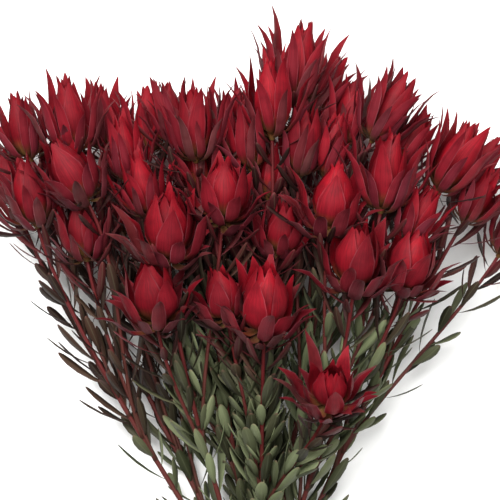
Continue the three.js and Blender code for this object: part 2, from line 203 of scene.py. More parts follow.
class Head:
    """A flower head: the solid it replaces, where its foot is and which way it points."""

    def __init__(self, solid, number, row):
        x, y, z, lean, rise, self.size, self.leaves_at = row
        self.solid = solid
        self.number = number
        self.foot = Vector((x, y, z))
        self.upright = share_of(rise, HABIT["cup_rise"], HABIT["upright_rise"])
        self.bud = YOUNG_HEAD["bud"] if rise > YOUNG_HEAD["rise"] else 1.0
        lean, rise = math.radians(lean), math.radians(rise)
        self.axis = Vector((
            math.sin(lean) * math.cos(rise), math.cos(lean) * math.cos(rise), math.sin(rise)))


class Shoot:
    """The middle line of a leader or side shoot: a straight butt, if it has one, and then a smooth bend."""

    def __init__(self, number, controls, steps, head, outer, butt=None):
        self.number = number
        self.outer = outer
        self.pitch = LEAF_PITCH + OUTER["pitch"] * outer
        self.controls = controls
        self.steps = steps
        self.head = head
        self.butt = butt
        self.bare = BUTT_LENGTH + BARE_LENGTH if butt else BARE_NECK
        self.knots = [bezier(controls, step / steps) for step in range(steps + 1)]
        if butt:
            self.knots.insert(0, butt)
        self.spans = [(b - a).length for a, b in zip(self.knots, self.knots[1:])]
        self.length = sum(self.spans)

    def at(self, distance):
        """The point at a distance from the lower end, and the way the line runs there."""
        step = 0
        while step < len(self.spans) - 1 and distance > self.spans[step]:
            distance -= self.spans[step]
            step += 1
        share = distance / self.spans[step]
        direction = (self.knots[step + 1] - self.knots[step]).normalized()
        if self.butt:
            if step == 0:
                return self.knots[0].lerp(self.knots[1], share), direction
            step -= 1
        return bezier(self.controls, (step + share) / self.steps), direction

    def section(self, distance):
        """The point at a distance from the lower end, and two vectors square to the line there."""
        near, far = max(distance - DIRECTION_REACH, 0), min(distance + DIRECTION_REACH, self.length)
        return self.at(distance)[0], *frame_of((self.at(far)[0] - self.at(near)[0]).normalized())


def slot_place(slot, along):
    """The middle of a cut stem in the band, or a distance from it towards the flowers."""
    return Vector((slot[0] * STEM_PITCH, along, LOW_ROW_HEIGHT + slot[1] * ROW_PITCH))


def leader_of(slot, head):
    """The leader that runs straight through the band and bends out to a head."""
    start = slot_place(slot, STRAIGHT_END)
    span = (head.foot - start).length
    controls = (
        start, start + Vector((0, span * START_PULL, 0)),
        head.foot - head.axis * (span * END_PULL), head.foot)
    return Shoot(head.number, controls, LEADER_STEPS, head, abs(slot[0]), slot_place(slot, -BUTT_LENGTH))


def side_shoot_of(leader, head):
    """The shoot that leaves a leader and bends out to a head of its own."""
    start, direction = leader.at(head.leaves_at * leader.length)
    span = (head.foot - start).length
    way = direction.lerp((head.foot - start).normalized(), SHOOT_SPREAD).normalized()
    controls = (
        start, start + way * (span * END_PULL), head.foot - head.axis * (span * END_PULL), head.foot)
    return Shoot(head.number, controls, SHOOT_STEPS, head, leader.outer)


def grow():
    """Every cut stem as its name and its shoots, the leader first."""
    stems = []
    for order, (name, slot, rows) in enumerate(STEMS):
        shoots = []
        for index, row in enumerate(rows):
            head = Head(f"bloom_{name}_{index + 1}", order * MOST_HEADS + index, row)
            shoots.append(side_shoot_of(shoots[0], head) if shoots else leader_of(slot, head))
        stems.append((name, shoots))
    return stems


PLANT = grow()

# A bract of the bud wraps round its head's middle line, at no less than this radius in millimetres and by no
# more than this angle each way. A bract's tip flares outwards with this power of the way along it.
WRAP_LEAST = 5
WRAP_MOST = 1.4
FLARE_POWER = 8


class Blade:
    """The middle line of a leaf or bract: an arc that leaves its root on the side that round points to."""

    def __init__(self, root, axis, round_, length, width, opening):
        self.root, self.axis, self.round = root, axis, round_
        self.across = axis.cross(round_)
        self.length, self.width = length, width
        self.start, self.end = (math.radians(angle) for angle in opening)
        self.sway = self.twist = self.flare = self.closing = 0.0
        self.cup = self.fold = self.wave = self.wrap = self.stand = 0.0

    def at(self, along, sideways=0.0, depth=0.0):
        """A point of the blade: along its arc, across it, and out of its back, in millimetres."""
        bend = self.end - self.start
        angle = self.start + bend * along
        out = self.length / bend * (math.cos(self.start) - math.cos(angle))
        up = self.length / bend * (math.sin(angle) - math.sin(self.start))
        depth += sideways * math.tan(self.twist * along)
        depth += (self.flare * along ** FLARE_POWER - self.closing * along * along) * self.length
        depth += self.wave * self.length * math.sin(2 * math.pi * along)
        depth -= self.cup * sideways * sideways + self.fold * abs(sideways)
        sideways += self.sway * self.length * along * along
        out += depth * math.cos(angle)
        if self.wrap:
            radius = max(WRAP_LEAST, out + self.stand)
            turned = max(-WRAP_MOST, min(WRAP_MOST, sideways / radius))
            out -= self.wrap * radius * (1 - math.cos(turned))
            sideways = lerp(sideways, radius * math.sin(turned), self.wrap)
        up -= depth * math.sin(angle)
        return self.root + self.round * out + self.axis * up + self.across * sideways

    def lowest(self):
        """The height of the lowest spot that is looked at."""
        return min(self.at(along, side * self.width / 2).z
                   for along in SPOTS_NEAR_SURFACE for side in SIDES_NEAR_SURFACE)


def clasp_of(inward):
    """How far a bract belongs to the inner ones, which clasp each other in an egg-shaped bud."""
    share = share_of(inward, CLASP["from"], CLASP["full"])
    return share * share * (3 - 2 * share)


def bract_of(head, number, closer):
    """The bract at one place of a head's spiral, as the solids have it."""
    inward = number / (BRACTS - 1)
    clasp = clasp_of(inward)
    side, up = frame_of(head.axis)
    turn = number * GOLDEN_ANGLE + draw(head.number, HEAD_TURN) * 2 * math.pi
    round_ = side * math.cos(turn) + up * math.sin(turn)
    length, width, start, end = (
        lerp(lerp(*CUP[part], inward), lerp(*UPRIGHT[part], inward), head.upright) + CLASP[part] * clasp
        for part in CUP)
    longer, wider, later = (
        BRACT_VARIES[part] * (1 - CLASP["steadier"] * clasp) * (draw(head.number, number, drawn) - 0.5)
        for part, drawn in (("length", BRACT_LENGTH), ("start", BRACT_START), ("end", BRACT_END)))
    out, above = (lerp(*BRACT_ROOT[part], inward) * head.size for part in ("out", "up"))
    return Blade(
        head.foot + head.axis * above + round_ * out, head.axis, round_,
        length * (1 + longer) * head.size, width * head.size,
        (start - closer + wider, end - closer / 2 + later))


def leaf_of(shoot, number, closer):
    """The leaf at one place of the spiral along a shoot, as the solids have it."""
    distance = shoot.bare + number * shoot.pitch
    point, direction = shoot.at(distance)
    near = max(0.0, 1 - (shoot.length - distance) / LEAF_REACH["below"])
    side, up = frame_of(direction)
    turn = number * GOLDEN_ANGLE + draw(shoot.number, SHOOT_TURN) * 2 * math.pi
    longer = (1 + LEAF_REACH["longer"] * near) * (1 + OUTER["longer"] * shoot.outer)
    narrower = (1 - LEAF_REACH["narrower"] * near) * (1 - OUTER["narrower"] * shoot.outer)
    length, width, spread = (
        LEAF_VARIES[part] * (draw(shoot.number, number, drawn) - 0.5)
        for part, drawn in (("length", LEAF_LENGTH), ("width", LEAF_WIDTH), ("open", LEAF_OPENING)))
    spread += LEAF_REACH["wider"] * near - closer
    return Blade(
        point, direction, side * math.cos(turn) + up * math.sin(turn),
        LEAF["length"] * longer * (1 + length), LEAF["width"] * narrower * (1 + width),
        [angle + spread for angle in LEAF["open"]])


def linear(hex_colour):
    """An sRGB hex colour as the linear red, green, blue and alpha that a shader takes."""
    channels = [int(hex_colour[i:i + 2], 16) / 255 for i in (1, 3, 5)]
    return (*(c / 12.92 if c <= 0.04045 else ((c + 0.055) / 1.055) ** 2.4 for c in channels), 1.0)


def node(tree, kind, inputs, output=0, **settings):
    """Adds a shader node with its settings, sets or links its inputs, and returns one of its outputs."""
    made = tree.nodes.new(kind)
    for name, value in settings.items():
        setattr(made, name, value)
    for name, value in inputs.items():
        if isinstance(value, bpy.types.NodeSocket):
            tree.links.new(value, made.inputs[name])
        else:
            made.inputs[name].default_value = value
    return made.outputs[output]


def new_material(name, roughness, ior, specular=0.5):
    """A new material with its node tree and its shader."""
    material = bpy.data.materials.new(name)
    material.use_nodes = True
    shader = material.node_tree.nodes["Principled BSDF"]
    for socket, value in (("Roughness", roughness), ("IOR", ior), ("Specular IOR Level", specular)):
        shader.inputs[socket].default_value = value
    return material, material.node_tree, shader


# How far apart two blades of nearly the same tone are in the patterns of veins and of weathering.
VEINS_APART = 37.0
WEATHER_APART = 91.7


def veins(tree, lines, waves):
    """Fine lines that run along a blade, with the number across it and how often each wanders."""
    across, along, tone = (
        node(tree, "ShaderNodeAttribute", {}, "Fac", attribute_name=name)
        for name in ("across", "along", "tone"))
    place = node(tree, "ShaderNodeCombineXYZ", {
        "X": node(tree, "ShaderNodeMath", {0: across, 1: lines}, operation="MULTIPLY"),
        "Y": node(tree, "ShaderNodeMath", {0: along, 1: waves}, operation="MULTIPLY"),
        "Z": node(tree, "ShaderNodeMath", {0: tone, 1: VEINS_APART}, operation="MULTIPLY")})
    return node(tree, "ShaderNodeTexNoise", {"Vector": place, "Scale": 1.0, "Detail": 3.0})


def waxy_bract(settings):
    """Leathery bract skin: a smooth cuticle under thin wax, so its highlights are broad and soft."""
    material, tree, shader = new_material("waxy bract", 0.62, 1.4, 0.2)
    inward, along, tone, back, across = (
        node(tree, "ShaderNodeAttribute", {}, "Fac", attribute_name=name)
        for name in ("inward", "along", "tone", "back", "across"))

    # The inner bracts are the brightest, the outer ones wine red, and each head and bract differs a little.
    bright = node(tree, "ShaderNodeMapRange", {"Value": inward, "From Min": 0.1, "From Max": 0.7},
                  interpolation_type="SMOOTHSTEP")
    dull = node(tree, "ShaderNodeMath", {0: tone, 1: 0.75}, operation="MULTIPLY")

    # The wax shows as a mauve-grey film on the backs of the outer bracts.
    wax = node(tree, "ShaderNodeMapRange", {
        "Value": inward, "From Min": 0.75, "From Max": 0.0, "To Max": 0.45})
    wax = node(tree, "ShaderNodeMath", {0: wax, 1: back}, operation="MULTIPLY")

    # Some of the outer bracts are weathered to brown.
    weathered = node(tree, "ShaderNodeMath", {0: tone, 1: WEATHER_APART}, operation="MULTIPLY")
    weathered = node(tree, "ShaderNodeTexWhiteNoise", {"W": weathered}, "Value", noise_dimensions="1D")
    weathered = node(tree, "ShaderNodeMapRange", {"Value": weathered, "From Min": 0.4, "To Max": 0.9})
    outermost = node(tree, "ShaderNodeMapRange", {"Value": inward, "From Min": 0.5, "From Max": 0.15})
    weathered = node(tree, "ShaderNodeMath", {0: outermost, 1: weathered}, operation="MULTIPLY")

    # Every bract turns olive at its root.
    root = node(tree, "ShaderNodeMapRange", {
        "Value": along, "From Min": 0.36, "From Max": 0.0, "To Max": 0.75},
        interpolation_type="SMOOTHSTEP")

    # The thin rim is paler in patches, most of all on the outer bracts: partly its own paler colour and
    # partly painted light shining through the thin edge.
    side = node(tree, "ShaderNodeMath", {0: across}, operation="ABSOLUTE")
    most = node(tree, "ShaderNodeMapRange", {
        "Value": inward, "From Min": 0.3, "From Max": 0.7, "To Min": 0.6, "To Max": 0.15})
    rim = node(tree, "ShaderNodeMapRange", {
        "Value": side, "From Min": 0.88, "From Max": 1.0, "To Max": most})
    lines = veins(tree, 13.0, 2.0)
    patches = node(tree, "ShaderNodeMapRange", {"Value": lines, "From Min": 0.4, "From Max": 0.52})
    rim = node(tree, "ShaderNodeMath", {0: rim, 1: patches}, operation="MULTIPLY")

    # Sun and age mottle the skin with darker patches about 15 mm apart, and its veins are darker too.
    place = node(tree, "ShaderNodeTexCoord", {}, "Object")
    mottle = node(tree, "ShaderNodeTexNoise", {"Vector": place, "Scale": 65.0, "Detail": 3.0})
    mottle = node(tree, "ShaderNodeMapRange", {
        "Value": mottle, "From Min": 0.45, "From Max": 0.75, "To Max": 0.6})
    vein = node(tree, "ShaderNodeMapRange", {
        "Value": lines, "From Min": 0.35, "From Max": 0.7, "To Max": 0.5})

    # Each tint lies over the ones before it.
    colour = settings.outer[:]
    for share, tint in (
            (bright, settings.inner), (dull, settings.deep), (wax, settings.film),
            (weathered, settings.weathered), (root, settings.root), (rim, settings.rim),
            (mottle, settings.deep), (vein, settings.vein)):
        colour = node(tree, "ShaderNodeMix", {0: share, 6: colour, 7: tint[:]}, 2, data_type="RGBA")
    tree.links.new(colour, shader.inputs["Base Color"])
    bump = node(tree, "ShaderNodeBump", {"Height": lines, "Strength": 0.6, "Distance": 0.4 * MM})
    tree.links.new(bump, shader.inputs["Normal"])
    return material


def matt_leaf(settings):
    """Tough leaf skin under fine flattened hairs: matt grey-green, and wine red towards the flowers."""
    material, tree, shader = new_material("matt leaf", 0.62, 1.4, 0.3)
    redness_and_painted_shade, along, tone, across = (
        node(tree, "ShaderNodeAttribute", {}, "Fac", attribute_name=name)
        for name in ("inward", "along", "tone", "across"))

    # The leaves go from green through olive to red, and each differs from its darkest to its palest. The
    # olive and dark red among the heads are partly the leaves' own colour and partly painted shade.
    green, olive, red = (
        node(tree, "ShaderNodeMix", {0: tone, 6: darkest[:], 7: palest[:]}, 2, data_type="RGBA")
        for darkest, palest in (
            (settings.old, settings.young), (settings.dim, settings.olive), (settings.dim, settings.flush)))
    shaded, flushed_and_painted_shade = (
        node(tree, "ShaderNodeMapRange", {"Value": redness_and_painted_shade, "From Min": least, "From Max": most},
             interpolation_type="SMOOTHSTEP")
        for least, most in ((0.0, 0.6), (0.5, 0.9)))

    # Sun burns the tip and the rim brown-red, and the midrib stays paler than the skin.
    side = node(tree, "ShaderNodeMath", {0: across}, operation="ABSOLUTE")
    tip, rim, middle = (
        node(tree, "ShaderNodeMapRange", {"Value": place, "From Min": start, "From Max": end, "To Max": most})
        for place, start, end, most in (
            (along, 0.93, 1.0, 0.35), (side, 0.88, 1.0, 0.45), (side, 0.15, 0.0, 0.12)))
    lines = veins(tree, 6.0, 4.0)
    vein = node(tree, "ShaderNodeMath", {0: lines, 1: 0.4}, operation="MULTIPLY")

    # Each tint lies over the ones before it.
    colour = green
    for share, tint in (
            (shaded, olive), (flushed_and_painted_shade, red), (tip, settings.edge[:]), (rim, settings.edge[:]),
            (middle, settings.midrib[:]), (vein, settings.dim[:])):
        colour = node(tree, "ShaderNodeMix", {0: share, 6: colour, 7: tint}, 2, data_type="RGBA")
    tree.links.new(colour, shader.inputs["Base Color"])
    bump = node(tree, "ShaderNodeBump", {"Height": lines, "Strength": 0.3, "Distance": 0.3 * MM})
    tree.links.new(bump, shader.inputs["Normal"])
    return material


def young_bark(settings):
    """Thin bark on this year's wood: crimson by the flowers, brown-red lower down, with fine long ridges."""
    material, tree, shader = new_material("young bark", 0.6, 1.45, 0.3)

    # The ridges are about 1.1 mm apart and 17 mm long.
    place = node(tree, "ShaderNodeTexCoord", {}, "Object")
    stretched = node(tree, "ShaderNodeMapping", {"Vector": place, "Scale": (900, 60, 900)})
    grain = node(tree, "ShaderNodeTexNoise", {"Vector": stretched, "Scale": 1.0, "Detail": 3.0})
    along = node(tree, "ShaderNodeAttribute", {}, "Fac", attribute_name="along")
    colour = node(tree, "ShaderNodeMix", {0: along, 6: settings.old[:], 7: settings.young[:]}, 2,
                  data_type="RGBA")
    share = node(tree, "ShaderNodeMath", {0: grain, 1: 0.5}, operation="MULTIPLY")
    colour = node(tree, "ShaderNodeMix", {0: share, 6: colour, 7: settings.crack[:]}, 2, data_type="RGBA")
    tree.links.new(colour, shader.inputs["Base Color"])
    bump = node(tree, "ShaderNodeBump", {"Height": grain, "Strength": 0.4, "Distance": 0.3 * MM})
    tree.links.new(bump, shader.inputs["Normal"])
    return material


def cut_pith(settings):
    """Fresh cut wood: pale and dry, with a softer darker pith in the middle that drinks the light."""
    material, tree, shader = new_material("cut pith", 0.85, 1.5)

    # The grain is about 1.1 mm wide, drawn coarser than it is so that it shows.
    place = node(tree, "ShaderNodeTexCoord", {}, "Object")
    grain = node(tree, "ShaderNodeTexNoise", {"Vector": place, "Scale": 900.0, "Detail": 4.0})
    colour = node(tree, "ShaderNodeMix", {0: grain, 6: settings.cut[:], 7: settings.pith[:]}, 2,
                  data_type="RGBA")
    tree.links.new(colour, shader.inputs["Base Color"])
    return material


def natural_rubber(settings):
    """Natural rubber, cut flat from an extruded tube: dull tan with a faint dusty skin."""
    material, tree, shader = new_material("natural rubber", 0.75, 1.52)

    # The dust lies in patches about 2.5 mm apart.
    place = node(tree, "ShaderNodeTexCoord", {}, "Object")
    dust = node(tree, "ShaderNodeTexNoise", {"Vector": place, "Scale": 400.0, "Detail": 4.0})
    colour = node(tree, "ShaderNodeMix", {0: dust, 6: settings.rubber[:], 7: settings.dust[:]}, 2,
                  data_type="RGBA")
    tree.links.new(colour, shader.inputs["Base Color"])
    bump = node(tree, "ShaderNodeBump", {"Height": dust, "Strength": 0.15, "Distance": 0.2 * MM})
    tree.links.new(bump, shader.inputs["Normal"])
    return material


def finish_piece(bm, name, materials, solid):
    """Makes the object of a finished mesh, rides it on the bunch and hides the solid it stands for."""
    mesh = bpy.data.meshes.new(name)
    bm.to_mesh(mesh)
    bm.free()
    for material in materials:
        mesh.materials.append(material)
    mesh.shade_smooth()
    piece = bpy.data.objects.new(name, mesh)
    bpy.context.collection.objects.link(piece)
    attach(piece, "root")
    if solid:
        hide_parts(solid)


# Leaves and bracts that would dip below this height are pressed flat between it and the surface.
PRESSED = 2 * MM

# What each point of a blade carries for its material: how far along and across the blade it is, how far
# inward the bract stands or how red the leaf is, the tone of the whole blade, and how far on its back it is.
# A leaf's redness and tone also carry painted shade among the heads and deep in the bunch.
BLADE_LAYERS = ("along", "across", "inward", "tone", "back")


def blade_pattern(around, spots):
    """A closed blade to copy: a globe whose poles are the root and the tip, and whose sides are the rims."""
    bm = bmesh.new()
    bmesh.ops.create_uvsphere(bm, u_segments=around, v_segments=len(spots) - 1, radius=1)
    bmesh.ops.recalc_face_normals(bm, faces=bm.faces)
    for edge in bm.edges:
        edge.smooth = not all(abs(vert.co.y) < 1e-4 for vert in edge.verts)
    mesh = bpy.data.meshes.new("blade pattern")
    bm.to_mesh(mesh)
    bm.free()
    return mesh


def above_surface(height):
    """A leaf or bract that would dip under the surface lies along it instead."""
    return height if height > PRESSED else PRESSED * math.exp(height / PRESSED - 1)


def add_blade(bm, pattern, spots, profile, thickness, inward, tone, blade):
    """Copies the blade pattern into bm and bends it along a blade."""
    rings = len(spots) - 1
    known = len(bm.verts)
    bm.from_mesh(pattern)
    bm.verts.ensure_lookup_table()
    layers = [bm.verts.layers.float[name] for name in BLADE_LAYERS]
    for vert in bm.verts[known:]:
        ring = round(math.acos(max(-1.0, min(1.0, -vert.co.z))) / math.pi * rings)
        level = math.hypot(vert.co.x, vert.co.y)
        across, face = (vert.co.x / level, vert.co.y / level) if level > 1e-4 else (0.0, 0.0)
        along, half = spots[ring], profile[ring] * blade.width / 2
        depth = face * thickness / 2 * math.sqrt(profile[ring])
        vert.co = blade.at(along, across * half, depth) * MM
        vert.co.z = above_surface(vert.co.z)
        for layer, value in zip(layers, (along, across, inward, tone, 0.5 + face / 2)):
            vert[layer] = value


def blade_mesh():
    """An empty mesh whose points can carry what the material of a blade reads."""
    bm = bmesh.new()
    for name in BLADE_LAYERS:
        bm.verts.layers.float.new(name)
    return bm


# The blades that are copied: how many points each has in a ring, how far along the blade each ring lies, and
# how wide the blade is there, as a share of its full width.
BRACT_AROUND = 8
BRACT_SPOTS = (0, 0.08, 0.2, 0.36, 0.54, 0.72, 0.87, 0.96, 1)
OUTER_PROFILE = (0.3, 0.48, 0.72, 0.94, 1.0, 0.82, 0.5, 0.18, 0)
INNER_PROFILE = (0.5, 0.85, 1.0, 0.98, 0.88, 0.52, 0.22, 0.12, 0)
LEAF_AROUND = 6
LEAF_SPOTS = (0, 0.15, 0.35, 0.58, 0.78, 0.92, 0.98, 1)
LEAF_PROFILE = (0.12, 0.3, 0.68, 0.98, 0.95, 0.62, 0.3, 0)

# The shape of an open bract beyond what the solids have: how far it is hollowed and folded, how far its tip
# flares, how far it waves in a cup and in an upright head, and how far it twists and sways. In a cup it is
# also wider, and opens further by some degrees.
OPEN = {
    "cup": 0.01, "fold": 0.3, "flare": 0.06, "wave": (0.08, 0.05), "twist": 1.1, "sway": 0.42,
    "wider": 0.15, "opens": 14}

# The shape of a bract of the bud. Each pair is for the outermost and the innermost of them, which nest in
# each other, but the flare is drawn between its two. Upright heads have shorter buds, which close less.
BUD = {
    "flare": (0.06, 0.22), "longer": (1.48, 1.14), "upright_shorter": 0.24, "steeper": (14, 0),
    "outwards": (3, -1.5), "closing": (0.26, 0.2), "upright_closing": 0.13, "sway": 0.1}
CLOSING_VARIES = {"head": (0.7, 1.1), "bract": (0.85, 1.15)}

# How much of a bract's tone is its own and not its head's, and how much redder an upright head is outside.
BRACT_TONE_SHARE = 0.5
UPRIGHT_REDDER = 0.18

# The core of a bud: its sides and rings, its radius in a cup and in an upright head, the heights of its ends
# above the foot, and how far it narrows to a point. Its colour is that of a shaded inner bract.
CORE = {"sides": 10, "rings": 8, "radius": (9, 6.5), "height": (-1, 48), "point": 0.5, "inward": 0.8,
        "tone": 0.7}

# How far a leaf is hollowed and folded, and how far it sways and twists, usually and right below a head.
LEAF_SHAPE = {"cup": 0.012, "fold": 0.1, "sway": 0.14, "twist": (0.7, 1.6)}

# No leaf stands closer to a head than this, and stems closer to the middle column than INNER_COLUMNS carry
# leaves at every half pitch.
LEAF_FROM_HEAD = 2
INNER_COLUMNS = 0.8

# Where the bunch's leaves are browner, in millimetres: left of one line and above another, with a soft
# border. Elsewhere the leaves of a shoot are at most this brown.
AGED = {"left_of": -40, "above": 160, "fade": 60, "elsewhere": 0.5}

# How strongly a shoot's last leaves turn red, where 1 is full red right below the head.
BLUSH_STRENGTH = 1.3

# The last leaves below a head spread wider, in degrees and millimetres, so they stay outside its bracts.
UNDER_HEAD = {"wider": 22, "below": 40}

# The height of the bunch's upper side at the band, in millimetres, and how it rises towards the flowers.
# Leaves below it are darkened with painted shade, the more the deeper they lie.
TOP_SIDE = {"at_band": 24, "rise": 0.27}


def searchable(points):
    """Points as a tree in which the nearest ones are found."""
    tree = KDTree(len(points))
    for index, point in enumerate(points):
        tree.insert(point, index)
    tree.balance()
    return tree


class Neighbours:
    """Tells whether a blade would run through the wood of another shoot or through a bud."""

    def __init__(self):
        shoots = [shoot for name, shoots in PLANT for shoot in shoots]
        wood = [(shoot.at(shoot.length * i / WOOD_POINTS)[0], shoot.number)
                for shoot in shoots for i in range(WOOD_POINTS + 1)]
        buds = [(shoot.head.foot + shoot.head.axis * (up * shoot.head.size), shoot.number)
                for shoot in shoots for up in BUD_HEIGHTS]
        self.owners = [[number for point, number in points] for points in (wood, buds)]
        self.trees = [searchable([point for point, number in points]) for points in (wood, buds)]

    def touched_by(self, blade, number, own_bud=False):
        """Looks at a few spots of a blade that grows on the shoot with that number."""
        for tree, owners, room, own in zip(self.trees, self.owners, (WOOD_ROOM, BUD_ROOM), (False, own_bud)):
            for along in SPOTS_NEAR_OTHERS:
                near = tree.find_range(blade.at(along), room)
                if any(own or owners[index] != number for point, index, gap in near):
                    return True
        return False


def solid_points(solid):
    """The corners of a solid, in millimetres, ready to be searched."""
    return searchable([vertex.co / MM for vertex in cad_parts[solid].data.vertices])


def chosen_bract(head, number, corners, neighbours):
    """The bract at one place of a head: as the solid has it, or the widest open one that is clear."""
    choices = [bract_of(head, number, closer) for closer in CLOSER]
    built = [choice for choice in choices if corners.find(choice.at(1))[2] < SAME_POINT]
    clear = [choice for choice in choices
             if choice.lowest() > LEAST_HEIGHT and not neighbours.touched_by(choice, head.number)]
    return (built + clear + choices[-1:])[0]


def shape_bract(bract, head, number, inward, clasp):
    """Curls and twists a bract that is open, and wraps one of the bud round those inside it."""
    loose = 1 - clasp
    cupped = loose * (1 - head.upright)
    bract.cup = OPEN["cup"] * loose
    bract.fold = OPEN["fold"] * loose
    bract.wave = lerp(*OPEN["wave"], head.upright) * loose
    bract.twist = OPEN["twist"] * loose * (draw(head.number, number, TWIST) - 0.5)
    bract.sway = lerp(BUD["sway"], OPEN["sway"], loose) * (draw(head.number, number, SWAY) - 0.5)
    bract.flare = lerp(OPEN["flare"], lerp(*BUD["flare"], draw(head.number, number, FLARE)), clasp)
    bract.width *= 1 + OPEN["wider"] * cupped
    bract.end += math.radians(OPEN["opens"]) * cupped * (1 - inward)

    nested = share_of(inward, CLASP["full"], 1)
    bract.wrap = clasp
    bract.length *= lerp(1, lerp(*BUD["longer"], nested) - BUD["upright_shorter"] * head.upright, clasp)
    bract.length *= lerp(1, head.bud, clasp)
    bract.width *= lerp(1, head.bud, clasp)
    bract.start -= math.radians(lerp(*BUD["steeper"], nested)) * clasp
    bract.root = bract.root + bract.round * (lerp(*BUD["outwards"], nested) * head.size * clasp)
    bract.stand = (bract.root - head.foot).dot(bract.round)
    bract.closing = lerp(lerp(*BUD["closing"], nested), BUD["upright_closing"], head.upright) * clasp
    bract.closing *= lerp(*CLOSING_VARIES["head"], draw(head.number, HEAD_CLOSING))
    bract.closing *= lerp(*CLOSING_VARIES["bract"], draw(head.number, number, BRACT_CLOSING))


class BUNCH_OT_blooms(bpy.types.Operator):
    """Builds every flower head as a spiral of cupped, pointed bracts"""

    bl_idname = "bunch.blooms"
    bl_label = "Flower heads"

    def execute(self, context):
        settings = context.scene.bunch_bracts
        material = waxy_bract(settings)
        pattern = blade_pattern(BRACT_AROUND, BRACT_SPOTS)
        neighbours = Neighbours()
        for name, shoots in PLANT:
            for shoot in shoots:
                self.bloom(shoot.head, settings, material, pattern, neighbours)
        bpy.data.meshes.remove(pattern)
        return {"FINISHED"}

    def bloom(self, head, settings, material, pattern, neighbours):
        """One head: its bracts from the outermost inwards, and the core of its bud."""
        bm = blade_mesh()
        corners = solid_points(head.solid)
        for number in range(BRACTS):
            bract = chosen_bract(head, number, corners, neighbours)
            inward = number / (BRACTS - 1)
            clasp = clasp_of(inward)
            shape_bract(bract, head, number, inward, clasp)
            tone = lerp(draw(head.number, HEAD_TONE), draw(head.number, number, TONE), BRACT_TONE_SHARE)
            profile = [lerp(outer, inner, clasp) for outer, inner in zip(OUTER_PROFILE, INNER_PROFILE)]
            add_blade(bm, pattern, BRACT_SPOTS, profile, settings.thickness / MM,
                      lerp(inward, 1, UPRIGHT_REDDER * head.upright), tone, bract)
        self.core(bm, head)
        finish_piece(bm, head.solid + "_bracts", [material], head.solid)

    def core(self, bm, head):
        """The swollen end of the shoot, which carries the bracts, and the unopened flowers in the bud."""
        side, up = frame_of(head.axis)
        layers = [bm.verts.layers.float[name] for name in BLADE_LAYERS]
        radius = lerp(*CORE["radius"], head.upright) * head.size * head.bud
        made = bmesh.ops.create_uvsphere(bm, u_segments=CORE["sides"], v_segments=CORE["rings"], radius=1)
        for vert in made["verts"]:
            x, y, z = vert.co
            share = (z + 1) / 2
            height = lerp(*CORE["height"], share) * head.size * head.bud
            reach = radius * (1 - CORE["point"] * share * share)
            vert.co = (head.foot + (side * x + up * y) * reach + head.axis * height) * MM
            for layer, value in zip(layers, (share, 0.0, CORE["inward"], CORE["tone"], 1.0)):
                vert[layer] = value


class BUNCH_OT_leaves(bpy.types.Operator):
    """Builds the spiral of leaves along every shoot, redder towards its flower head"""

    bl_idname = "bunch.leaves"
    bl_label = "Leaves"

    def execute(self, context):
        settings = context.scene.bunch_leaves
        material = matt_leaf(settings)
        pattern = blade_pattern(LEAF_AROUND, LEAF_SPOTS)
        neighbours = Neighbours()
        for name, shoots in PLANT:
            bm = blade_mesh()
            for shoot in shoots:
                self.leaves(bm, shoot, settings, pattern, neighbours)
            finish_piece(bm, f"leaves_{name}", [material], None)
        bpy.data.meshes.remove(pattern)
        return {"FINISHED"}

    def leaves(self, bm, shoot, settings, pattern, neighbours):
        """Leaves stand a pitch apart, but half a pitch apart below the head and on the inner stems."""
        blush = settings.blush / MM
        number = 0
        while True:
            left = shoot.length - shoot.bare - number * shoot.pitch
            if left < LEAF_FROM_HEAD:
                return
            spot = shoot.at(shoot.length - left)[0]
            # Beyond the crown the leaves turn olive and dark red with painted shade, on top of the blush near
            # their own head.
            depth = (spot.y - settings.painted_shade_crown / MM) / blush
            left_side = share_of(spot.x, AGED["left_of"], AGED["left_of"] - AGED["fade"])
            above_band = share_of(spot.y, AGED["above"], AGED["above"] + AGED["fade"])
            elsewhere = AGED["elsewhere"] * draw(shoot.number, AGE) ** 2
            aged = settings.aged * max(elsewhere, left_side * above_band)
            redness_and_painted_shade = max(0.0, min(1.0, max(BLUSH_STRENGTH * (1 - left / blush), depth, aged)))
            # Painted shade: a leaf's tone is darker the further it lies below the bunch's upper side.
            lit = share_of(spot.z, 0, TOP_SIDE["at_band"] + TOP_SIDE["rise"] * spot.y)
            under_head = share_of(left, UNDER_HEAD["below"], 0)
            for closer in CLOSER:
                leaf = leaf_of(shoot, number, closer)
                leaf.start += math.radians(UNDER_HEAD["wider"]) * under_head
                leaf.end += math.radians(UNDER_HEAD["wider"]) * under_head
                if leaf.lowest() < LEAST_HEIGHT or neighbours.touched_by(leaf, shoot.number, own_bud=True):
                    continue
                leaf.cup = LEAF_SHAPE["cup"]
                leaf.fold = LEAF_SHAPE["fold"]
                leaf.twist = lerp(*LEAF_SHAPE["twist"], under_head)
                leaf.twist *= draw(shoot.number, number, TWIST) - 0.5
                leaf.sway = LEAF_SHAPE["sway"] * (draw(shoot.number, number, SWAY) - 0.5)
                tone = draw(shoot.number, number, TONE) * lerp(1 - settings.painted_depth_shade, 1, lit)
                add_blade(bm, pattern, LEAF_SPOTS, LEAF_PROFILE, settings.thickness / MM, redness_and_painted_shade, tone, leaf)
                break
            number += 0.5 if left < settings.crowd / MM or shoot.outer < INNER_COLUMNS else 1


# The bark lies this far inside the solid's butts and swells by this share of its radius, and the shortest
# shoots have this many steps.
BARK_INSET = 0.15
SWELLING = 0.06
LEAST_STEPS = 6

# A leaf scar: its sides and rings, how far it is sunk into the bark in millimetres, and how far it stands
# out and how tall it is as shares of half its width.
SCAR = {"sides": 8, "rings": 5, "sunk": 0.1, "raised": 0.25, "tall": 0.5}


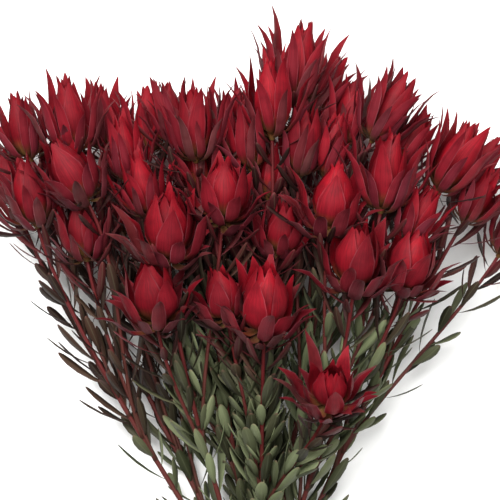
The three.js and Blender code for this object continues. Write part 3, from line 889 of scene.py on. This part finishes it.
class BUNCH_OT_wood(bpy.types.Operator):
    """Builds the bark of each cut stem: its leader and its side shoots"""

    bl_idname = "bunch.wood"
    bl_label = "Stems"

    def execute(self, context):
        settings = context.scene.bunch_wood
        materials = (young_bark(settings), cut_pith(settings))
        for name, shoots in PLANT:
            bm = bmesh.new()
            bm.verts.layers.float.new("along")
            for shoot in shoots:
                self.rod(bm, shoot, settings)
            self.scars(bm, shoots[0], settings)
            finish_piece(bm, f"wood_{name}", materials, f"stem_{name}")
        return {"FINISHED"}

    def rod(self, bm, shoot, settings):
        """A leader or side shoot: a long cylinder whose rings are moved to its middle line."""
        start_radius = STEM_RADIUS - BARK_INSET if shoot.butt else SHOOT_RADIUS
        steps = max(LEAST_STEPS, int(shoot.length * MM / settings.step))
        known = len(bm.verts)
        bmesh.ops.create_cone(bm, cap_ends=True, segments=settings.sides, radius1=1, radius2=1, depth=1)
        bm.verts.ensure_lookup_table()
        long_edges = {edge for vert in bm.verts[known:] for edge in vert.link_edges
                      if abs(edge.verts[0].co.z - edge.verts[1].co.z) > 0.5}
        bmesh.ops.subdivide_edges(bm, edges=list(long_edges), cuts=steps - 1)
        bm.verts.ensure_lookup_table()
        if shoot.butt:
            ends = {face for vert in bm.verts[known:] for face in vert.link_faces if face.normal.z < -0.9}
            bmesh.ops.inset_individual(bm, faces=list(ends), thickness=settings.bark / STEM_RADIUS / MM)
            for face in ends:
                face.material_index = 1
            bm.verts.ensure_lookup_table()
        layer = bm.verts.layers.float["along"]
        for vert in bm.verts[known:]:
            share = vert.co.z + 0.5
            ring = round(share * steps)
            point, side, up = shoot.section(shoot.length * share)
            swell = 1 + SWELLING * (draw(shoot.number, ring, SWELL) - 0.5)
            collar = 0 if shoot.butt else settings.collar * math.exp(-shoot.length * share / COLLAR_FADE)
            radius = lerp(start_radius, HEAD_END_RADIUS, share) * (swell + collar)
            vert[layer] = share
            vert.co = (point + side * (vert.co.x * radius) + up * (vert.co.y * radius)) * MM

    def scars(self, bm, shoot, settings):
        """Leaf scars: low bumps in the leaves' spiral, where those near the cut end were stripped off."""
        layer = bm.verts.layers.float["along"]
        scar = settings.scar / MM
        for number in range(1, int(shoot.bare / shoot.pitch)):
            distance = shoot.bare - number * shoot.pitch
            point, side, up = shoot.section(distance)
            turn = -number * GOLDEN_ANGLE
            out = side * math.cos(turn) + up * math.sin(turn)
            level = side * -math.sin(turn) + up * math.cos(turn)
            surface = lerp(STEM_RADIUS, HEAD_END_RADIUS, distance / shoot.length) - SCAR["sunk"]
            made = bmesh.ops.create_uvsphere(
                bm, u_segments=SCAR["sides"], v_segments=SCAR["rings"], radius=1)
            for vert in made["verts"]:
                x, y, z = vert.co
                vert[layer] = distance / shoot.length
                vert.co = (
                    point + out * (surface + x * scar * SCAR["raised"]) + level * (y * scar)
                    + out.cross(level) * (z * scar * SCAR["tall"])) * MM


# The sides of the band's round stretch at each corner of the bundle, its turn there, and the least turn of
# an edge that is worn.
BAND_SIDES = 9
CORNER_TURN = 2 * math.pi / len(BAND_CORNERS)
BAND_EDGE_TURN = math.radians(60)


class BUNCH_OT_band(bpy.types.Operator):
    """Builds the plain elastic band that holds the cut stems together"""

    bl_idname = "bunch.band"
    bl_label = "Band"

    def execute(self, context):
        settings = context.scene.bunch_band
        bm = bmesh.new()
        bmesh.ops.create_cone(
            bm, cap_ends=False, segments=BAND_SIDES * len(BAND_CORNERS), radius1=1, radius2=1, depth=1)
        for vert in bm.verts:
            turn = math.atan2(vert.co.y, vert.co.x)
            corner = BAND_CORNERS[int((turn + math.pi / 2) / CORNER_TURN % len(BAND_CORNERS))]
            centre = slot_place(corner, vert.co.z * TIE_WIDTH)
            reach = STEM_RADIUS + FIT_GAP + TIE_THICKNESS
            vert.co = (centre + Vector((math.cos(turn), 0, math.sin(turn))) * reach) * MM
        bmesh.ops.recalc_face_normals(bm, faces=bm.faces)
        middle = slot_place((0, 1), 0) * MM
        if sum(face.normal.dot(face.calc_center_median() - middle) for face in bm.faces) < 0:
            bmesh.ops.reverse_faces(bm, faces=bm.faces)
        bmesh.ops.solidify(bm, geom=bm.faces, thickness=TIE_THICKNESS * MM)
        bmesh.ops.recalc_face_normals(bm, faces=bm.faces)
        rims = [edge for edge in bm.edges if edge.calc_face_angle(0) > BAND_EDGE_TURN]
        bmesh.ops.bevel(
            bm, geom=rims, offset=settings.rounding, offset_type="OFFSET", segments=2, profile=0.5,
            affect="EDGES", material=-1)
        finish_piece(bm, "band", [natural_rubber(settings)], "tie")
        return {"FINISHED"}


# The stage, in metres: where each light is and how wide it is, where they point, and half the floor's side.
KEY_LIGHT = {"place": (-0.5, 1.3, 2.1), "size": 1.4}
FILL_LIGHT = {"place": (0.5, 0.2, 2.2), "size": 2.0}
LIT_POINT = (0, 0.38, 0.1)
FLOOR_REACH = 4

# The width of the camera's sensor, in millimetres.
SENSOR_WIDTH = 36


class BUNCH_OT_stage(bpy.types.Operator):
    """Builds the pale floor, the soft studio light and the camera that looks down on the bunch"""

    bl_idname = "bunch.stage"
    bl_label = "Stage"

    def execute(self, context):
        settings = context.scene.bunch_stage
        self.floor(context, settings)
        for name, shape, power in (
                ("key", KEY_LIGHT, settings.key), ("fill", FILL_LIGHT, settings.key * settings.fill)):
            light = bpy.data.lights.new(name, "AREA")
            light.energy = power
            light.size = shape["size"]
            lamp = bpy.data.objects.new(name, light)
            lamp.location = shape["place"]
            way = Vector(LIT_POINT) - Vector(shape["place"])
            lamp.rotation_euler = way.to_track_quat("-Z", "Y").to_euler()
            context.collection.objects.link(lamp)
        context.scene.view_settings.view_transform = "Standard"
        world = bpy.data.worlds.new("studio")
        world.use_nodes = True
        world.node_tree.nodes["Background"].inputs["Color"].default_value = settings.sky
        world.node_tree.nodes["Background"].inputs["Strength"].default_value = settings.ambient
        context.scene.world = world
        self.camera(context, settings)
        return {"FINISHED"}

    def floor(self, context, settings):
        """Matt paper, uncoated, so that it takes only soft shadows."""
        bm = bmesh.new()
        bmesh.ops.create_grid(bm, x_segments=1, y_segments=1, size=FLOOR_REACH)
        mesh = bpy.data.meshes.new("floor")
        bm.to_mesh(mesh)
        bm.free()
        material, tree, shader = new_material("matt paper", 0.8, 1.5)
        shader.inputs["Base Color"].default_value = settings.paper
        mesh.materials.append(material)
        floor = bpy.data.objects.new("floor", mesh)
        context.collection.objects.link(floor)

    def camera(self, context, settings):
        """The photograph's frame: one pixel is about a millimetre at the height of the upper heads."""
        camera = bpy.data.cameras.new("camera")
        camera.sensor_width = SENSOR_WIDTH
        camera.lens = SENSOR_WIDTH * settings.distance / (PHOTO_PIXELS * MM)
        viewer = bpy.data.objects.new("camera", camera)
        viewer.location = Vector(settings.centre) + Vector((0, 0, settings.distance))
        context.collection.objects.link(viewer)
        context.scene.camera = viewer


class BractSettings(bpy.types.PropertyGroup):
    thickness: FloatProperty(
        name="Thickness", description="Thickness of a bract at its middle", default=0.9 * MM, min=0.3 * MM,
        **LENGTH)
    inner: FloatVectorProperty(
        name="Inner", description="Colour of the inner bracts",
        default=linear("#900A1A"), **COLOUR)
    outer: FloatVectorProperty(
        name="Outer", description="Colour of the outer bracts",
        default=linear("#660C18"), **COLOUR)
    deep: FloatVectorProperty(
        name="Deep", description="Colour that the darkest heads turn to",
        default=linear("#43060E"), **COLOUR)
    film: FloatVectorProperty(
        name="Film", description="Colour of the wax on the backs of the outer bracts",
        default=linear("#663440"), **COLOUR)
    weathered: FloatVectorProperty(
        name="Weathered", description="Colour that some of the outer bracts have turned to",
        default=linear("#503632"), **COLOUR)
    root: FloatVectorProperty(
        name="Root", description="Colour of a bract at its root",
        default=linear("#665C2E"), **COLOUR)
    # The rim colour is partly the rim's own and partly painted light shining through the thin edge.
    rim: FloatVectorProperty(
        name="Rim", description="Colour of a bract's thin rim",
        default=linear("#B8707A"), **COLOUR)
    vein: FloatVectorProperty(
        name="Vein", description="Colour of the lines along a bract",
        default=linear("#3A050C"), **COLOUR)


class LeafSettings(bpy.types.PropertyGroup):
    thickness: FloatProperty(
        name="Thickness", description="Thickness of a leaf at its middle", default=0.8 * MM, min=0.3 * MM,
        **LENGTH)
    blush: FloatProperty(
        name="Blush", description="Length below a head over which the leaves turn red", default=110 * MM,
        min=1 * MM, **LENGTH)
    # Beyond this distance the leaves among the heads are darkened with painted shade.
    painted_shade_crown: FloatProperty(
        name="Crown", description="How far from the band the shaded leaves among the heads begin",
        default=300 * MM, **LENGTH)
    # Browner leaves on the left of the bunch, and at random on some shoots elsewhere.
    aged: FloatProperty(
        name="Aged", description="How brown the leaves of the oldest shoots are", default=0.6, min=0, max=1)
    # Painted shade on the leaves deep in the bunch, standing in for the shade that falls there.
    painted_depth_shade: FloatProperty(
        name="Gloom", description="How much darker the leaves deep in the bunch are", default=0.6, min=0,
        max=1)
    crowd: FloatProperty(
        name="Crowd", description="Length below a head over which the leaves stand twice as close",
        default=80 * MM, min=1 * MM, **LENGTH)
    old: FloatVectorProperty(
        name="Old", description="Darkest colour of the lower leaves",
        default=linear("#2A301A"), **COLOUR)
    young: FloatVectorProperty(
        name="Young", description="Palest colour of the lower leaves",
        default=linear("#828C66"), **COLOUR)
    # The dim, olive and flush colours among the heads are partly the leaves' own colour and partly painted
    # shade.
    dim: FloatVectorProperty(
        name="Dim", description="Darkest colour of the leaves among the heads",
        default=linear("#1F100E"), **COLOUR)
    olive: FloatVectorProperty(
        name="Olive", description="Palest colour of the leaves between the green and the red ones",
        default=linear("#3F3525"), **COLOUR)
    flush: FloatVectorProperty(
        name="Flush", description="Palest colour of the leaves next to a head",
        default=linear("#661C24"), **COLOUR)
    edge: FloatVectorProperty(
        name="Edge", description="Colour of a leaf's tip and rim",
        default=linear("#6E3532"), **COLOUR)
    midrib: FloatVectorProperty(
        name="Midrib", description="Colour of a leaf's midrib",
        default=linear("#98A07C"), **COLOUR)


class WoodSettings(bpy.types.PropertyGroup):
    sides: IntProperty(name="Sides", description="Sides of a stem's section", default=10, min=4)
    step: FloatProperty(
        name="Step", description="Length of one stretch of a stem", default=12 * MM, min=2 * MM,
        **LENGTH)
    collar: FloatProperty(
        name="Collar", description="How much thicker a side shoot is where it leaves its leader",
        default=0.45, min=0)
    bark: FloatProperty(
        name="Bark", description="Thickness of the bark round the cut wood", default=0.6 * MM, min=0.1 * MM,
        max=3 * MM, **LENGTH)
    scar: FloatProperty(
        name="Scar", description="Half the width of a leaf scar", default=1.7 * MM, min=0.2 * MM,
        **LENGTH)
    old: FloatVectorProperty(
        name="Old", description="Colour of the bark at the cut end",
        default=linear("#4C2E24"), **COLOUR)
    young: FloatVectorProperty(
        name="Young", description="Colour of the bark below a head",
        default=linear("#5E1016"), **COLOUR)
    crack: FloatVectorProperty(
        name="Crack", description="Colour between the ridges of the bark",
        default=linear("#30120F"), **COLOUR)
    cut: FloatVectorProperty(
        name="Cut", description="Colour of the cut wood",
        default=linear("#D8CC9C"), **COLOUR)
    pith: FloatVectorProperty(
        name="Pith", description="Colour of the pith inside the cut wood",
        default=linear("#B79C66"), **COLOUR)


class BandSettings(bpy.types.PropertyGroup):
    rounding: FloatProperty(
        name="Rounding", description="How far the band's edges are worn round", default=0.35 * MM, min=0,
        **LENGTH)
    rubber: FloatVectorProperty(
        name="Rubber", description="Colour of the rubber",
        default=linear("#A98B5A"), **COLOUR)
    dust: FloatVectorProperty(
        name="Dust", description="Colour of the dusty skin",
        default=linear("#CBB182"), **COLOUR)


class StageSettings(bpy.types.PropertyGroup):
    key: FloatProperty(
        name="Key light", description="Power of the key light", default=108, min=0, unit="POWER")
    fill: FloatProperty(
        name="Fill light", description="Power of the fill light, as a share of the key light's",
        default=0.4, min=0)
    ambient: FloatProperty(
        name="Ambient", description="Strength of the light from all round", default=0.06, min=0)
    distance: FloatProperty(
        name="Distance", description="From the camera to the upper heads", default=1.8, min=0.5,
        **LENGTH)
    paper: FloatVectorProperty(
        name="Paper", description="Colour of the floor",
        default=linear("#FCFCFA"), **COLOUR)
    sky: FloatVectorProperty(
        name="Sky", description="Colour of the light from all round",
        default=linear("#F4F4F2"), **COLOUR)
    centre: FloatVectorProperty(
        name="Centre", description="What the camera looks at", default=(-0.012, 0.41, 0.13), size=3,
        subtype="XYZ", unit="LENGTH")


class BUNCH_PT_panel(bpy.types.Panel):
    bl_label = "Leucadendron bunch"
    bl_idname = "BUNCH_PT_panel"
    bl_space_type = "VIEW_3D"
    bl_region_type = "UI"
    bl_category = "Bunch"

    def draw(self, context):
        scene = context.scene
        for settings, operator in (
                (scene.bunch_wood, BUNCH_OT_wood),
                (scene.bunch_leaves, BUNCH_OT_leaves),
                (scene.bunch_bracts, BUNCH_OT_blooms),
                (scene.bunch_band, BUNCH_OT_band),
                (scene.bunch_stage, BUNCH_OT_stage)):
            box = self.layout.box()
            for name in settings.__annotations__:
                box.prop(settings, name)
            box.operator(operator.bl_idname)


SETTINGS = {
    "bunch_bracts": BractSettings,
    "bunch_leaves": LeafSettings,
    "bunch_wood": WoodSettings,
    "bunch_band": BandSettings,
    "bunch_stage": StageSettings,
}
OPERATORS = (BUNCH_OT_stage, BUNCH_OT_wood, BUNCH_OT_leaves, BUNCH_OT_blooms, BUNCH_OT_band)


def register():
    for name, group in SETTINGS.items():
        bpy.utils.register_class(group)
        setattr(bpy.types.Scene, name, PointerProperty(type=group))
    for item in (*OPERATORS, BUNCH_PT_panel):
        bpy.utils.register_class(item)


def unregister():
    for item in (BUNCH_PT_panel, *reversed(OPERATORS)):
        bpy.utils.unregister_class(item)
    for name, group in SETTINGS.items():
        delattr(bpy.types.Scene, name)
        bpy.utils.unregister_class(group)


def main():
    register()
    bpy.ops.bunch.stage()
    bpy.ops.bunch.wood()
    bpy.ops.bunch.leaves()
    bpy.ops.bunch.blooms()
    bpy.ops.bunch.band()


if __name__ == "__main__":
    main()
